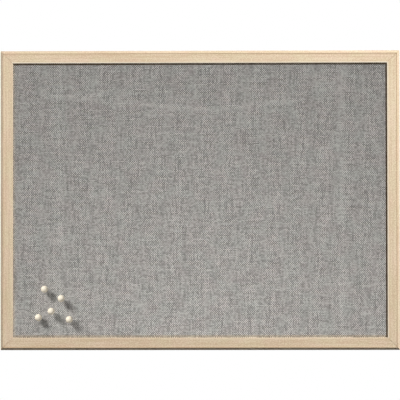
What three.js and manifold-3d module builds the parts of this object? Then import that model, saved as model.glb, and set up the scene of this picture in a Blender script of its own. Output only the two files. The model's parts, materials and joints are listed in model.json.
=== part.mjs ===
// A wall-hung notice board: a mitred wooden frame round a fabric-covered pin core, with ball-headed pins.
// Millimetres, +Z up, the front looks along -Y. The origin is on the back of the top rail, at its middle,
// where the board lies on the wall.
import * as THREE from "three";
import { mergeVertices } from "three/addons/utils/BufferGeometryUtils.js";
import Module from "manifold-3d";

const wasm = await Module();
wasm.setup();

// Driving sizes of the board
const boardWidth = 800;
const boardHeight = 600;

// Sizes of the rails' section, measured in from the outer edge and back from the front
const railWidth = 25;
const lipThickness = 4;
const rebateWidth = 8;
const bevelWidth = 5.2;
const bevelDepth = 6;
const crestEase = 0.4;
const stepWidth = 1.6;
const faceDrop = 0.5;
const innerEase = 0.6;
const backEase = 0.6;
const mitreGap = 0.3;

// Sizes of the panel that lies in the rebate
const panelClearance = 0.8;
const clothThickness = 0.8;
const clothTurnover = 30;
const coverFit = 0.3;
const coreThickness = 10;
const backingThickness = 2.4;
const backRecess = 2;

// Sizes of the steel that holds the corners and the panel
const nailWing = 6;
const nailThickness = 0.5;
const nailLength = 10;
const nailSink = 0.6;
const pointWidth = 6;
const pointThickness = 0.6;
const pointInWood = 5;
const pointOnBoard = 9;
const cutClearance = 0.3;

// Places of the retaining points along a rail, as shares of the opening's length
const longRailPointShares = [-0.36, -0.12, 0.12, 0.36];
const shortRailPointShares = [-0.34, 0, 0.34];

// Sizes of the hangers on the backs of the side rails, and how far below the top edge their eyes are
const hangerDrop = 70;
const plateWidth = 9;
const plateLength = 14;
const plateThickness = 1;
const plateCorner = 2;
const wireDiameter = 2.2;
const ringSideGap = 1.4;
const ringHeight = 12.8;
const ringCorner = 2.2;
const eyeGap = 0.3;
const screwShank = 2.6;
const screwLength = 11;
const screwTip = 3;
const screwHead = 5.4;
const screwHeadHeight = 1.5;
const driveSlotWidth = 0.7;
const driveSlotLength = 3.2;
const driveSlotDepth = 0.8;

// Sizes of a pin
const ballDiameter = 14;
const needleDiameter = 1.1;
const needleInBall = 8;
const needleTaper = 2.6;
const needleEndGap = 0.6;

// Places of the pins on the visible cloth, as shares of its width from the left and its height from below,
// and how far each is out, as a share of the needle's length
const pinPlaceShares = [
  { across: 0.0865, up: 0.1775, out: 0.51 },
  { across: 0.1309, up: 0.1437, out: 0.54 },
  { across: 0.1044, up: 0.0976, out: 0.58 },
  { across: 0.0698, up: 0.0744, out: 0.29 },
  { across: 0.1522, up: 0.0677, out: 0.42 },
];

// How finely round shapes are divided, how close corners are welded and how far cuts run past a face
const arcSteps = 6;
const needleSides = 12;
const ballSides = 28;
const ballRows = 16;
const wireSides = 8;
const ringSteps = 8;
const weldDistance = 1e-4;
const overrun = 1;

// Sizes that follow from the ones above
const panelThickness = 2 * clothThickness + coreThickness + backingThickness;
const railDepth = lipThickness + panelThickness + backRecess;
const backWidth = railWidth - rebateWidth;
const openingWidth = boardWidth - 2 * railWidth;
const openingHeight = boardHeight - 2 * railWidth;
const panelWidth = boardWidth - 2 * (backWidth + panelClearance);
const panelHeight = boardHeight - 2 * (backWidth + panelClearance);
const coverFrontY = lipThickness - railDepth;
const coreFrontY = coverFrontY + clothThickness;
const coreBackY = coreFrontY + coreThickness;
const backingFrontY = coreBackY + clothThickness;
const backingBackY = backingFrontY + backingThickness;
const needleOutside = backingFrontY - coverFrontY - needleEndGap;

// The materials of the pieces
const pine = new THREE.MeshStandardMaterial({ color: 0xe0c9a6, roughness: 0.62, metalness: 0 });
const cloth = new THREE.MeshStandardMaterial({ color: 0x9a9792, roughness: 0.92, metalness: 0 });
const softboard = new THREE.MeshStandardMaterial({ color: 0xb59a72, roughness: 0.95, metalness: 0 });
const hardboard = new THREE.MeshStandardMaterial({ color: 0x7a5a3c, roughness: 0.8, metalness: 0 });
const zincSteel = new THREE.MeshStandardMaterial({ color: 0xb9bcc0, roughness: 0.38, metalness: 0.9 });
const beech = new THREE.MeshStandardMaterial({ color: 0xe6d6b4, roughness: 0.5, metalness: 0 });
const needleSteel = new THREE.MeshStandardMaterial({ color: 0xc4c6c8, roughness: 0.25, metalness: 0.95 });

// A solid from any closed three.js shape: its corners are welded, its empty triangles left out, and its
// triangles turned round where they face inwards
function solid(geometry) {
  const bare = new THREE.BufferGeometry();
  bare.setAttribute("position", geometry.getAttribute("position").clone());
  bare.setIndex(geometry.index ? geometry.index.clone() : null);
  const welded = mergeVertices(bare, weldDistance);
  const corners = welded.index.array;
  const kept = [];
  for (let i = 0; i < corners.length; i += 3) {
    const [a, b, c] = corners.slice(i, i + 3);
    if (a !== b && b !== c && c !== a) kept.push(a, b, c);
  }
  const vertProperties = new Float32Array(welded.getAttribute("position").array);
  const facing = (triangles) =>
    new wasm.Manifold(new wasm.Mesh({ numProp: 3, vertProperties, triVerts: new Uint32Array(triangles) }));
  const body = facing(kept);
  return body.volume() > 0 ? body : facing(kept.reverse());
}

// The three.js shape of a solid
function shapeOf(body) {
  const { vertProperties, triVerts } = body.getMesh();
  const geometry = new THREE.BufferGeometry();
  geometry.setAttribute("position", new THREE.BufferAttribute(new Float32Array(vertProperties), 3));
  geometry.setIndex(new THREE.BufferAttribute(new Uint32Array(triVerts), 1));
  geometry.computeVertexNormals();
  return geometry;
}

// A named piece from a solid
function piece(name, body, material) {
  const mesh = new THREE.Mesh(shapeOf(body), material);
  mesh.name = name;
  return mesh;
}

// A block between two corners
function block(low, high) {
  const size = high.map((value, axis) => value - low[axis]);
  const geometry = new THREE.BoxGeometry(...size);
  geometry.translate(...low.map((value, axis) => value + size[axis] / 2));
  return solid(geometry);
}

// An outline in X and Z, pushed from frontY back to backY
function slabGeometry(outline, frontY, backY) {
  const geometry = new THREE.ExtrudeGeometry(outline, { depth: backY - frontY, bevelEnabled: false });
  geometry.rotateX(Math.PI / 2);
  geometry.translate(0, backY, 0);
  return geometry;
}

// A rod along Y, centred on x and z
function rod(diameter, frontY, backY, x, z) {
  const geometry = new THREE.CylinderGeometry(diameter / 2, diameter / 2, backY - frontY, needleSides);
  geometry.translate(x, (frontY + backY) / 2, z);
  return solid(geometry);
}

// A body of revolution about Y, from points of radius and Y
function turned(points, sides) {
  return solid(new THREE.LatheGeometry(points.map(([radius, y]) => new THREE.Vector2(radius, y)), sides));
}

// The rails' section: x is the distance in from the outer edge, y the distance back from the front.
// A bevel rises from the outer edge to a narrow eased crest. Inside the crest a short step falls to the flat
// face, which lies a little behind the crest, and the rebate for the panel is behind the face.
function railSection() {
  const easeBack = (crestEase * bevelDepth) / bevelWidth;
  const section = new THREE.Shape();
  section.moveTo(0, bevelDepth);
  section.lineTo(bevelWidth - crestEase, easeBack);
  section.quadraticCurveTo(bevelWidth, 0, bevelWidth + crestEase, 0);
  section.lineTo(bevelWidth + crestEase + stepWidth, faceDrop);
  section.lineTo(railWidth - innerEase, faceDrop);
  section.absarc(railWidth - innerEase, faceDrop + innerEase, innerEase, -Math.PI / 2, 0, false);
  section.lineTo(railWidth, lipThickness);
  section.lineTo(backWidth, lipThickness);
  section.lineTo(backWidth, railDepth);
  section.lineTo(backEase, railDepth);
  section.lineTo(0, railDepth - backEase);
  section.closePath();
  return section;
}

// A rail along X with its outer edge at z = reach: its ends are mitred, so each point of the section is cut
// back by as much as it lies inside the outer edge
function mitredRail(length, reach) {
  const geometry = new THREE.ExtrudeGeometry(railSection(), {
    depth: 1,
    bevelEnabled: false,
    curveSegments: arcSteps,
  });
  const halfLength = length / 2 - mitreGap / Math.SQRT2;
  const place = geometry.getAttribute("position");
  for (let i = 0; i < place.count; i += 1) {
    const inward = place.getX(i);
    const back = place.getY(i);
    const side = place.getZ(i) > 0 ? -1 : 1;
    place.setXYZ(i, side * (halfLength - inward), back - railDepth, reach - inward);
  }
  return solid(geometry);
}

// A V-nail's outline about its own bend, with its wings opening along +X, made wider all round by grow
function nailOutline(grow) {
  const thick = nailThickness + 2 * grow;
  const wing = nailWing + grow;
  const outline = new THREE.Shape();
  outline.moveTo(-thick * Math.SQRT1_2, 0);
  outline.lineTo(wing - thick * Math.SQRT1_2, -wing);
  outline.lineTo(wing, -wing + thick * Math.SQRT1_2);
  outline.lineTo(thick * Math.SQRT1_2, 0);
  outline.lineTo(wing, wing - thick * Math.SQRT1_2);
  outline.lineTo(wing - thick * Math.SQRT1_2, wing);
  outline.closePath();
  return outline;
}

// The shape of a V-nail, or with grow that of the slot it leaves
function nailGeometry(grow) {
  const outerY = grow > 0 ? overrun : -nailSink;
  return slabGeometry(nailOutline(grow), -nailSink - nailLength - grow, outerY);
}

// The slot of the V-nail at one end of a rail: side is 1 at the rail's +X end and -1 at the other
function nailSlot(length, reach, side) {
  const inset = backWidth / 2;
  const geometry = nailGeometry(cutClearance);
  geometry.translate(-nailWing / 2, 0, 0);
  geometry.rotateY(Math.atan2(1, -side));
  geometry.translate(side * (length / 2 - inset), 0, reach - inset);
  return solid(geometry);
}

// A retaining point that lies on the backing board and reaches into the rail, or with grow its slot
function pointBlock(x, reach, grow) {
  const rebateZ = reach - backWidth;
  const half = pointWidth / 2 + grow;
  const low = [x - half, backingBackY - grow, rebateZ - pointOnBoard];
  const high = [x + half, backingBackY + pointThickness + grow, rebateZ + pointInWood + grow];
  return block(low, high);
}

// The hangers' places from the middle of the board: their eyes' axis, and their screws above it
const eyeRadius = wireDiameter / 2 + eyeGap + plateThickness;
const eyeZ = boardHeight / 2 - hangerDrop;
const screwRise = (eyeRadius + plateLength) / 2;
const screwZ = eyeZ + screwRise;
const hangerX = boardWidth / 2 - backWidth / 2;

// The four sides of the frame, in turns of a quarter about Y, with the places along each rail of the points
// and of the hanger's screw that it carries
const longPoints = longRailPointShares.map((share) => share * openingWidth);
const shortPoints = shortRailPointShares.map((share) => share * openingHeight);
const long = { length: boardWidth, reach: boardHeight / 2, points: longPoints };
const short = { length: boardHeight, reach: boardWidth / 2, points: shortPoints };
const sides = [
  { name: "top", turn: 0, ...long, screws: [] },
  { name: "right", turn: 1, ...short, screws: [-screwZ] },
  { name: "bottom", turn: 2, ...long, screws: [] },
  { name: "left", turn: 3, ...short, screws: [screwZ] },
];

// One rail with the slots of its nails and points, and the pilot hole of a hanger's screw
function rail({ length, reach, points, screws }) {
  const pilot = screwShank + 2 * cutClearance;
  const pilotEndY = plateThickness - screwLength - cutClearance;
  const cuts = [
    nailSlot(length, reach, 1),
    nailSlot(length, reach, -1),
    ...points.map((x) => pointBlock(x, reach, cutClearance)),
    ...screws.map((x) => rod(pilot, pilotEndY, overrun, x, reach - backWidth / 2)),
  ];
  return cuts.reduce((rest, cut) => rest.subtract(cut), mitredRail(length, reach));
}

// The frame: rails, V-nails and retaining points, each side turned into its place
function frame() {
  const group = new THREE.Group();
  sides.forEach((side, index) => {
    const arm = new THREE.Group();
    arm.rotation.y = (side.turn * Math.PI) / 2;
    arm.add(piece(`frame_rail_${side.name}`, rail(side), pine));
    side.points.forEach((x, i) => {
      arm.add(piece(`point_${side.name}_${i + 1}`, pointBlock(x, side.reach, 0), zincSteel));
    });
    group.add(arm);

    const inset = backWidth / 2;
    const right = index < 2 ? 1 : -1;
    const up = index === 0 || index === 3 ? 1 : -1;
    const nail = new THREE.Group();
    nail.position.set(right * (boardWidth / 2 - inset), 0, up * (boardHeight / 2 - inset));
    nail.rotation.y = Math.atan2(up, -right);
    const geometry = nailGeometry(0);
    geometry.translate(-nailWing / 2, 0, 0);
    nail.add(piece(`v_nail_${index + 1}`, solid(geometry), zincSteel));
    group.add(nail);
  });
  return group;
}

// The pins' places on the board, from its middle, and how far their balls stand off the cloth
const pinPlaces = pinPlaceShares.map(({ across, up, out }) => ({
  x: (across - 0.5) * openingWidth,
  z: (up - 0.5) * openingHeight,
  standoff: out * needleOutside,
}));

// A piece of the panel with the holes that the pins' needles have made, down to holeBackY
function pierced(body, holeBackY) {
  const hole = needleDiameter + 2 * cutClearance;
  const holes = pinPlaces.map(({ x, z }) => rod(hole, coverFrontY - overrun, holeBackY, x, z));
  return holes.reduce((rest, cut) => rest.subtract(cut), body);
}

// The cloth: a face, four turned edges and four flaps behind the core
function fabricCover() {
  const halfX = panelWidth / 2;
  const halfZ = panelHeight / 2;
  const insideX = halfX - clothThickness;
  const insideZ = halfZ - clothThickness;
  const windowX = halfX - clothTurnover;
  const windowZ = halfZ - clothTurnover;
  const outside = block([-halfX, coverFrontY, -halfZ], [halfX, backingFrontY, halfZ]);
  const inside = block([-insideX, coreFrontY, -insideZ], [insideX, coreBackY, insideZ]);
  const window = block([-windowX, coreFrontY, -windowZ], [windowX, backingFrontY + overrun, windowZ]);
  return pierced(outside.subtract(inside).subtract(window), coreFrontY + overrun);
}

// The soft core that the needles are pushed into
function softboardCore() {
  const halfX = panelWidth / 2 - clothThickness - coverFit;
  const halfZ = panelHeight / 2 - clothThickness - coverFit;
  return pierced(block([-halfX, coreFrontY, -halfZ], [halfX, coreBackY, halfZ]), coreBackY + overrun);
}

// The thin board that closes the back
function backingBoard() {
  const halfX = panelWidth / 2;
  const halfZ = panelHeight / 2;
  return block([-halfX, backingFrontY, -halfZ], [halfX, backingBackY, halfZ]);
}

// A hanger's plate with its rolled eye, about the eye's axis; the plate goes up from the eye
function hangerPlate() {
  const eyeY = eyeRadius;
  const meetZ = Math.sqrt(eyeRadius ** 2 - (eyeRadius - plateThickness) ** 2);
  const meetAngle = Math.atan2(meetZ, plateThickness - eyeY);
  const side = new THREE.Shape();
  side.moveTo(0, plateLength);
  side.lineTo(0, 0);
  side.absarc(eyeY, 0, eyeRadius, -Math.PI, meetAngle, false);
  side.lineTo(plateThickness, plateLength);
  side.closePath();
  const bore = new THREE.Path();
  bore.absarc(eyeY, 0, eyeRadius - plateThickness, 0, 2 * Math.PI, true);
  side.holes.push(bore);
  const rolled = new THREE.ExtrudeGeometry(side, {
    depth: plateWidth,
    bevelEnabled: false,
    curveSegments: 2 * arcSteps,
  });
  // The side view's x and y become Y and Z, and its depth runs along X
  const swap = new THREE.Matrix4().set(0, 0, 1, -plateWidth / 2, 1, 0, 0, 0, 0, 1, 0, 0, 0, 0, 0, 1);
  rolled.applyMatrix4(swap);

  const half = plateWidth / 2;
  const front = new THREE.Shape();
  front.moveTo(-half, -2 * eyeRadius);
  front.lineTo(half, -2 * eyeRadius);
  front.lineTo(half, plateLength - plateCorner);
  front.absarc(half - plateCorner, plateLength - plateCorner, plateCorner, 0, Math.PI / 2, false);
  front.absarc(plateCorner - half, plateLength - plateCorner, plateCorner, Math.PI / 2, Math.PI, false);
  front.closePath();
  const trim = solid(slabGeometry(front, -overrun, 2 * eyeRadius + overrun));
  const hole = rod(screwShank + 2 * cutClearance, -overrun, plateThickness + overrun, 0, screwRise);
  return solid(rolled).intersect(trim).subtract(hole);
}

// The middle line of a D-ring about its straight bar, hanging down
function ringLine() {
  const half = plateWidth / 2 + ringSideGap + wireDiameter / 2;
  const line = new THREE.Path();
  line.moveTo(ringCorner - half, 0);
  line.lineTo(half - ringCorner, 0);
  line.absarc(half - ringCorner, -ringCorner, ringCorner, Math.PI / 2, 0, true);
  line.lineTo(half, half - ringHeight);
  line.absarc(0, half - ringHeight, half, 0, -Math.PI, true);
  line.lineTo(-half, -ringCorner);
  line.absarc(ringCorner - half, -ringCorner, ringCorner, Math.PI, Math.PI / 2, true);
  const points = line.getPoints(ringSteps);
  return points.filter((point, i) => point.distanceTo(points[(i + 1) % points.length]) > weldDistance);
}

// A wire bent round a flat closed line of X and Z
function closedWire(line, diameter) {
  const corners = [];
  const triangles = [];
  line.forEach((point, i) => {
    const before = line[(i + line.length - 1) % line.length];
    const after = line[(i + 1) % line.length];
    const along = after.clone().sub(before).normalize();
    for (let k = 0; k < wireSides; k += 1) {
      const angle = ((k + 0.5) * 2 * Math.PI) / wireSides;
      const out = (Math.cos(angle) * diameter) / 2;
      const back = (Math.sin(angle) * diameter) / 2;
      corners.push(point.x - along.y * out, back, point.y + along.x * out);
      const here = i * wireSides;
      const next = ((i + 1) % line.length) * wireSides;
      const l = (k + 1) % wireSides;
      triangles.push(here + k, here + l, next + k, here + l, next + l, next + k);
    }
  });
  const geometry = new THREE.BufferGeometry();
  geometry.setAttribute("position", new THREE.Float32BufferAttribute(corners, 3));
  geometry.setIndex(triangles);
  return solid(geometry);
}

// A pan-head screw along Y, from its seat on the plate into the rail, with a cross in its head
function hangerScrew() {
  const shank = screwShank / 2;
  const head = screwHead / 2;
  const tipY = plateThickness - screwLength;
  const topY = plateThickness + screwHeadHeight;
  const body = turned(
    [
      [0, tipY],
      [shank, tipY + screwTip],
      [shank, plateThickness],
      [head, plateThickness],
      [head, plateThickness + screwHeadHeight / 2],
      [head - screwHeadHeight / 2, topY],
      [0, topY],
    ],
    needleSides,
  );
  const reach = driveSlotLength / 2;
  const wide = driveSlotWidth / 2;
  const slotY = topY - driveSlotDepth;
  const across = block([-reach, slotY, -wide], [reach, topY + overrun, wide]);
  const upright = block([-wide, slotY, -reach], [wide, topY + overrun, reach]);
  return body.subtract(across).subtract(upright);
}

// A hanger on the back of a side rail: plate, screw and the ring that turns in the plate's eye
function hanger(name, x) {
  const group = new THREE.Group();
  group.position.set(x, 0, eyeZ);
  group.add(piece(`hanger_plate_${name}`, hangerPlate(), zincSteel));
  const screw = piece(`hanger_screw_${name}`, hangerScrew(), zincSteel);
  screw.position.z = screwRise;
  group.add(screw);
  const ring = piece(`hanger_ring_${name}`, closedWire(ringLine(), wireDiameter), zincSteel);
  ring.position.y = eyeRadius;
  group.add(ring);
  return group;
}

// A pin's ball about its own centre, with the blind bore that the needle is glued in
function pinBall() {
  const radius = ballDiameter / 2;
  const boreRadius = needleDiameter / 2 + cutClearance;
  const mouthY = Math.sqrt(radius ** 2 - boreRadius ** 2);
  const start = Math.atan2(mouthY, boreRadius);
  const points = [
    [0, radius - needleInBall],
    [boreRadius, radius - needleInBall],
  ];
  for (let i = 0; i <= ballRows; i += 1) {
    const angle = start - (i * (start + Math.PI / 2)) / ballRows;
    points.push([i === ballRows ? 0 : radius * Math.cos(angle), radius * Math.sin(angle)]);
  }
  return turned(points, ballSides);
}

// A pin's needle about the ball's centre: from the bottom of the bore to its point
function pinNeedle() {
  const radius = needleDiameter / 2;
  const startY = ballDiameter / 2 - needleInBall;
  const tipY = ballDiameter / 2 + needleOutside;
  const points = [
    [0, startY],
    [radius, startY],
    [radius, tipY - needleTaper],
    [0, tipY],
  ];
  return turned(points, needleSides);
}

// A pin pushed into the core, with its ball a little off the cloth
function pin({ x, z, standoff }, index) {
  const group = new THREE.Group();
  group.position.set(x, coverFrontY - standoff - ballDiameter / 2, z);
  group.add(piece(`pin_${index + 1}_head`, pinBall(), beech));
  group.add(piece(`pin_${index + 1}_needle`, pinNeedle(), needleSteel));
  return group;
}

// The board, hung so that the middle of the top rail's back is the origin
const board = new THREE.Group();
board.position.z = backWidth / 2 - boardHeight / 2;
board.add(frame());
board.add(piece("fabric_cover", fabricCover(), cloth));
board.add(piece("softboard_core", softboardCore(), softboard));
board.add(piece("backing_board", backingBoard(), hardboard));
board.add(hanger("left", -hangerX));
board.add(hanger("right", hangerX));
pinPlaces.forEach((place, index) => board.add(pin(place, index)));

const group = new THREE.Group();
group.add(board);

export default group;
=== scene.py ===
# %% [markdown]
# # A notice board: wooden frame, linen-look face and ball-headed pins
# The real object is a flat wall board, 800 by 600 mm. Four pine rails are mitred round a soft panel that is
# covered with grey melange cloth, and five pins with turned wooden balls are stuck in its lower left corner.
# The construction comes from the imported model, and stays where it is. This script gives each part its
# finished form and surface, then sets up the lamps, the floor and the camera.

# %% The fixed frame
import json
import math

import bmesh
import bpy
from mathutils import Matrix, Vector, noise

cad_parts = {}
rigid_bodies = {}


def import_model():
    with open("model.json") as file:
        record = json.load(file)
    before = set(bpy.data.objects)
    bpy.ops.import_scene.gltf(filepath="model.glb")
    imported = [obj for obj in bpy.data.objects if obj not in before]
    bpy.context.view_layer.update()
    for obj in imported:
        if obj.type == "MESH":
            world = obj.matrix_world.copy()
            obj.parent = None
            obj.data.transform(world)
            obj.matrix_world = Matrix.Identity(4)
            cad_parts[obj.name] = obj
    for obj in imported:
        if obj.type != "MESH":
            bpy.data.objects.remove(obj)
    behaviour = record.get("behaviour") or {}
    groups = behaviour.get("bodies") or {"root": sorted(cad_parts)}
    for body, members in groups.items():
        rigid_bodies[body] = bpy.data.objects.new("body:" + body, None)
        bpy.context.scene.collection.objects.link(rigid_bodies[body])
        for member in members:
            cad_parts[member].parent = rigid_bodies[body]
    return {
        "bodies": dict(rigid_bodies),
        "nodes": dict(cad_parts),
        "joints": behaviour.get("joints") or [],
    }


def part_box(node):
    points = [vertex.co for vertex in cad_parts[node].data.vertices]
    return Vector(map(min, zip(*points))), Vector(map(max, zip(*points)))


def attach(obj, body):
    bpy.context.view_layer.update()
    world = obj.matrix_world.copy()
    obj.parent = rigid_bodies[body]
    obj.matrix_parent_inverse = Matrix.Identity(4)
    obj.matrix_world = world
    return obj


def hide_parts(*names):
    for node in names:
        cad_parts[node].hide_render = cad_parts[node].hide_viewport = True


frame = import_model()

nodes = frame["nodes"]
kept = {*nodes.values(), *frame["bodies"].values()}
for other in [o for o in bpy.data.objects if o not in kept]:
    bpy.data.objects.remove(other)
bpy.context.view_layer.update()

# %% [markdown]
# ## Sizes
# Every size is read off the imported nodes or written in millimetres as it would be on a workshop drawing, and
# turned to metres once. The middle of the board is worked out from the outer edges of the rails.

# %% The board's sizes
MM = 0.001
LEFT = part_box("frame_rail_left")[0].x
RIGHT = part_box("frame_rail_right")[1].x
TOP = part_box("frame_rail_top")[1].z
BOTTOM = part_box("frame_rail_bottom")[0].z
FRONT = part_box("frame_rail_top")[0].y
BOARD_WIDTH = RIGHT - LEFT
BOARD_HEIGHT = TOP - BOTTOM
MIDDLE = Vector(((LEFT + RIGHT) / 2, FRONT, (TOP + BOTTOM) / 2))
RAIL_WIDTH = 25 * MM
print("board", round(BOARD_WIDTH / MM), "by", round(BOARD_HEIGHT / MM), "mm, middle at z", round(MIDDLE.z, 4))

# %% [markdown]
# ## Helpers for meshes
# A mesh is made from points and faces, or in a bmesh where it needs cutting. Edges sharper than a given angle
# are marked sharp and all faces are smooth, so that a round edge shades round and a flat face stays flat.
# Rails, wires, balls and turned edges all grow as rings of points, so one helper joins such rings with faces.

# %% Mesh helpers
SHARP_ANGLE = 35
SAME_POINT = 0.001 * MM


def shade_by_angle(mesh, degrees=SHARP_ANGLE):
    """Smooth faces that meet at less than the angle, and a crisp edge everywhere else."""
    work = bmesh.new()
    work.from_mesh(mesh)
    for face in work.faces:
        face.smooth = True
    for edge in work.edges:
        edge.smooth = len(edge.link_faces) == 2 and edge.calc_face_angle(math.pi) < math.radians(degrees)
    work.to_mesh(mesh)
    work.free()


def new_piece(name, points, faces, material, degrees=SHARP_ANGLE):
    """A piece from points in the board's frame, with its faces turned outwards."""
    mesh = bpy.data.meshes.new(name)
    mesh.from_pydata([Vector(p) for p in points], [], faces)
    work = bmesh.new()
    work.from_mesh(mesh)
    bmesh.ops.recalc_face_normals(work, faces=work.faces)
    work.to_mesh(mesh)
    work.free()
    mesh.materials.append(material)
    shade_by_angle(mesh, degrees)
    made = bpy.data.objects.new(name, mesh)
    bpy.context.scene.collection.objects.link(made)
    return made


def joined(rings):
    """Faces between each ring of point numbers and the next, triangles where a ring repeats one point."""
    faces = []
    for one, two in zip(rings, rings[1:]):
        for i in range(len(one)):
            j = (i + 1) % len(one)
            face = tuple(dict.fromkeys((one[i], one[j], two[j], two[i])))
            if len(face) > 2:
                faces.append(face)
    return faces


def settle(made, body, slot, *replaced):
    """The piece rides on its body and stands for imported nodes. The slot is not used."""
    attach(made, body)
    if replaced:
        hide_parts(*replaced)
    print(made.name, "on", body, "with", len(made.data.polygons), "faces")
    return made


print("faces shade smooth up to", SHARP_ANGLE, "degrees")

# %% [markdown]
# ## Helpers for materials
# A colour is written as the sRGB hex value that the eye would pick off a swatch, and shaders need it linear.
# One function adds any node, with its settings and with what goes into its sockets.

# %% Material helpers
def linear(hex_colour):
    """An sRGB hex colour such as 9a9692 as a linear colour with alpha."""
    levels = [int(hex_colour[i:i + 2], 16) / 255 for i in (0, 2, 4)]
    return [c / 12.92 if c <= 0.04045 else ((c + 0.055) / 1.055) ** 2.4 for c in levels] + [1]


def add_node(tree, kind, sockets=None, **settings):
    """A ShaderNode of a kind, with its settings. sockets gives each a value, or the output that feeds it."""
    made = tree.nodes.new("ShaderNode" + kind)
    for setting, value in settings.items():
        setattr(made, setting, value)
    for socket, value in (sockets or {}).items():
        if isinstance(value, bpy.types.NodeSocket):
            tree.links.new(value, made.inputs[socket])
        else:
            made.inputs[socket].default_value = value
    return made


def new_material(name):
    """An empty material, and its node tree."""
    made = bpy.data.materials.new(name)
    made.use_nodes = True
    made.node_tree.nodes.clear()
    return made, made.node_tree


print("middle grey in linear light:", round(linear("808080")[0], 3))

# %% [markdown]
# ## Pine, planed and sanded, with clear matt varnish
# The rails are pale softwood with fine straight grain along each rail. The mesh carries the place in the
# plank as an attribute (along, across, depth, in mm), so one way of drawing grain serves all four rails, and
# each rail is cut from another place in the plank. Every mark is noise that is drawn out along the grain:
# - growth rings: really 1 to 3 mm apart, drawn at 3 mm, the finest that shows when one pixel is 2 mm
# - fibres: finer streaks of about 1 mm
# - varnish patches: the plank takes varnish unevenly over some centimetres
# - pores: a soft speckle of about 2 mm, a little longer along the grain
# - resin: a little pinker here and yellower there, over 40 mm or so

# %% Pine's colours and marks
PINE_LIGHT = "efdcc0"
PINE_DARK = "d9bf9f"
# A painted highlight for the inner arris, and painted shade for the step
PINE_ARRIS_HIGHLIGHT = "f8ead2"
PINE_STEP_SHADE = "b8936a"
RESIN_TINTS = {"A": (0.985, 1.01, 0.975, 1), "B": (1.015, 0.985, 1.0, 1)}
# For each mark: how often it repeats in a mm along, across and through the plank, and the noise's looks
PINE_MARKS = {
    "growth_rings": ((0.0055, 0.33, 0.33), {"Detail": 2, "Roughness": 0.55, "Distortion": 0.4}),
    "fibres": ((0.03, 1.1, 1.1), {"Detail": 3, "Roughness": 0.6}),
    "varnish_patches": ((0.012, 0.06, 0.06), {"Detail": 1}),
    "pores": ((0.4, 0.55, 0.55), {"Detail": 1, "Roughness": 0.6}),
    "resin": ((0.025, 0.06, 0.06), {"Detail": 2}),
}
GRAIN_SHARES = {"growth_rings": 0.5, "fibres": 0.32, "varnish_patches": 0.18}
GRAIN_LOW, GRAIN_HIGH = 0.36, 0.62
PINE_SPECKLE = 0.88
# Bands across the rail, in mm from its outer edge: the inner arris with its painted highlight, and the step
# with its painted shade, which fades on each side
ARRIS_FROM, ARRIS_TO = 22.4, 23.6
STEP_MIDDLE = 6.3
STEP_FULL, STEP_GONE = 0.7, 1.3
# How dark the painted shade on the step is
STEP_SHADE_STRENGTH = 0.35
print("pine has", len(PINE_MARKS), "kinds of mark")

# %% Pine
def pine(name, plank_start, arris_highlight_share):
    """Sanded pine with its grain along the attribute's first axis, a painted highlight on its inner arris at a
    share, and painted shade on the step.
    """
    made, tree = new_material(name)
    place = add_node(tree, "Attribute", attribute_name="plank_mm").outputs["Vector"]
    moved = add_node(tree, "VectorMath", {0: place, 1: (plank_start, 31 * plank_start, 7)},
                     operation="ADD").outputs[0]
    marks = {}
    for mark, (often, look) in PINE_MARKS.items():
        drawn_out = add_node(tree, "VectorMath", {0: moved, 1: often}, operation="MULTIPLY")
        marks[mark] = add_node(tree, "TexNoise",
                               {"Vector": drawn_out.outputs[0], "Scale": 1, **look}).outputs["Fac"]
    grain = 0.0
    for mark, share in GRAIN_SHARES.items():
        grain = add_node(tree, "Math", {0: marks[mark], 1: share, 2: grain},
                         operation="MULTIPLY_ADD").outputs[0]
    tone = add_node(tree, "MapRange", {
        "Value": grain, "From Min": GRAIN_LOW, "From Max": GRAIN_HIGH}).outputs["Result"]
    speckle = add_node(tree, "MapRange", {
        "Value": marks["pores"], "From Min": 0.25, "From Max": 0.75,
        "To Min": -PINE_SPECKLE, "To Max": PINE_SPECKLE}).outputs["Result"]
    speckled = add_node(tree, "Math", {0: tone, 1: speckle}, operation="ADD").outputs[0]
    wood = add_node(tree, "Mix", {
        "Factor": speckled, "A": linear(PINE_LIGHT), "B": linear(PINE_DARK)}, data_type="RGBA")
    pink = add_node(tree, "MapRange", {
        "Value": marks["resin"], "From Min": 0.35, "From Max": 0.65}).outputs["Result"]
    tint = add_node(tree, "Mix", {"Factor": pink, **RESIN_TINTS}, data_type="RGBA")
    wood = add_node(tree, "Mix", {
        "Factor": 1.0, "A": wood.outputs["Result"], "B": tint.outputs["Result"]},
        data_type="RGBA", blend_type="MULTIPLY")
    # Sanding rounds the inner arris, and its paler band is a painted highlight, strongest on the top and right
    # rails. The darker band on the step is painted shade
    across = add_node(tree, "SeparateXYZ", {"Vector": place}).outputs["Y"]
    arris = add_node(tree, "MapRange", {
        "Value": across, "From Min": ARRIS_FROM, "From Max": ARRIS_TO, "To Max": arris_highlight_share})
    off_step = add_node(tree, "Math", {0: across, 1: STEP_MIDDLE}, operation="SUBTRACT").outputs[0]
    off_step = add_node(tree, "Math", {0: off_step}, operation="ABSOLUTE").outputs[0]
    painted_step_shade = add_node(tree, "MapRange", {
        "Value": off_step, "From Min": STEP_FULL, "From Max": STEP_GONE,
        "To Min": STEP_SHADE_STRENGTH, "To Max": 0.0})
    for share, colour in ((arris, PINE_ARRIS_HIGHLIGHT), (painted_step_shade, PINE_STEP_SHADE)):
        wood = add_node(tree, "Mix", {"Factor": share.outputs["Result"], "A": wood.outputs["Result"],
                                      "B": linear(colour)}, data_type="RGBA")
    bump = add_node(tree, "Bump", {"Height": grain, "Strength": 0.25, "Distance": 0.1 * MM})
    shader = add_node(tree, "BsdfPrincipled", {
        "Base Color": wood.outputs["Result"], "Roughness": 0.55, "IOR": 1.5,
        "Specular IOR Level": 0.35, "Normal": bump.outputs["Normal"]})
    add_node(tree, "OutputMaterial", {"Surface": shader.outputs[0]})
    return made


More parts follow.
